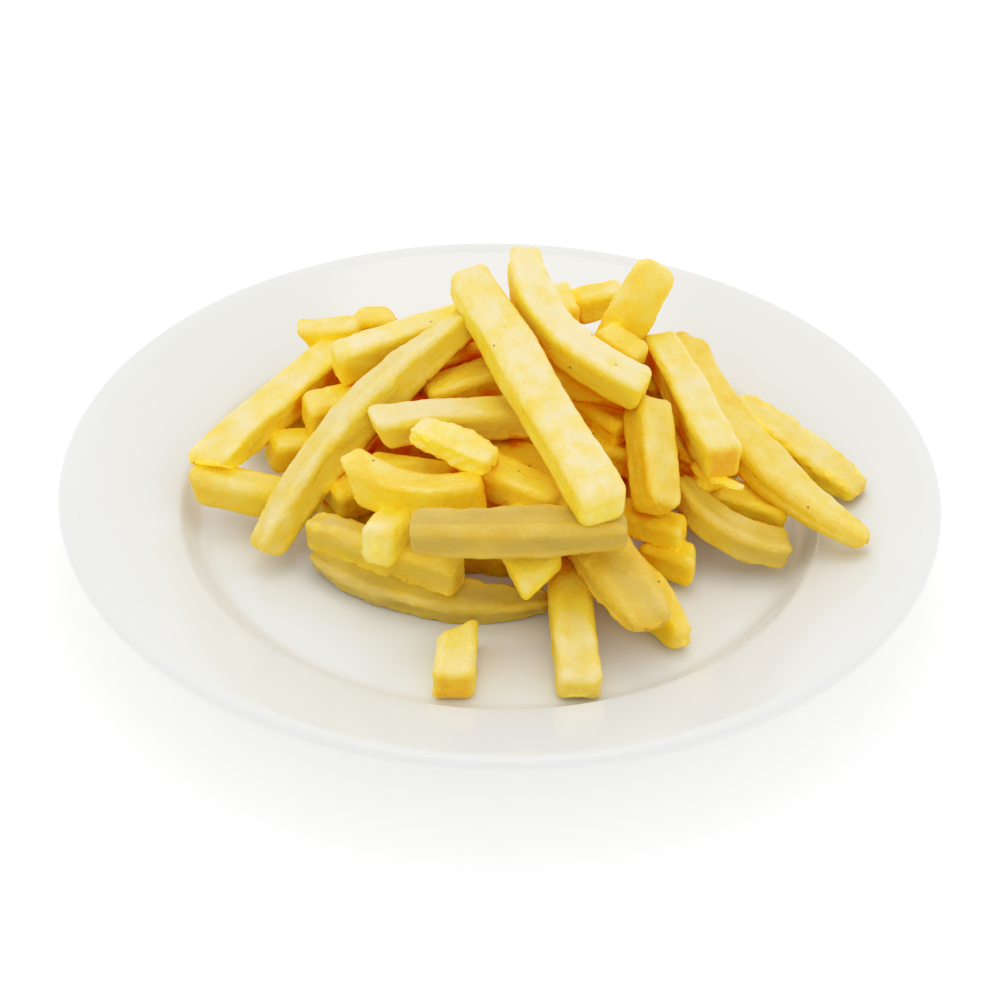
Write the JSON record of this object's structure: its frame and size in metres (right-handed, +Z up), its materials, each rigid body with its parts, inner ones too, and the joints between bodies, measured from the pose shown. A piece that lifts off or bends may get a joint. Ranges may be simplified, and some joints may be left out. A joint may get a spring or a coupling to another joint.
{
  "type": "plated french fries portion",
  "caption": "Heap of thick-cut french fries, pale gold with soft edges, on a plain white plate with a wide sloping rim and a foot ring, one short fry end lying apart.",
  "frame": {"origin": "on the table, under the middle of the plate", "axes": "+Z up; +X to the diner's right; -Y towards the diner, where the loose fry end lies"},
  "size_m": [0.24, 0.24, 0.0684],
  "materials": {
    "porcelain": "clear glazed white porcelain",
    "fried_potato": "pale gold fried potato with a thin crust"
  },
  "bodies": {
    "root": {"plate": "porcelain", "fries_heap": "fried_potato", "loose_fry_end": "fried_potato"}
  },
  "joints": []
}
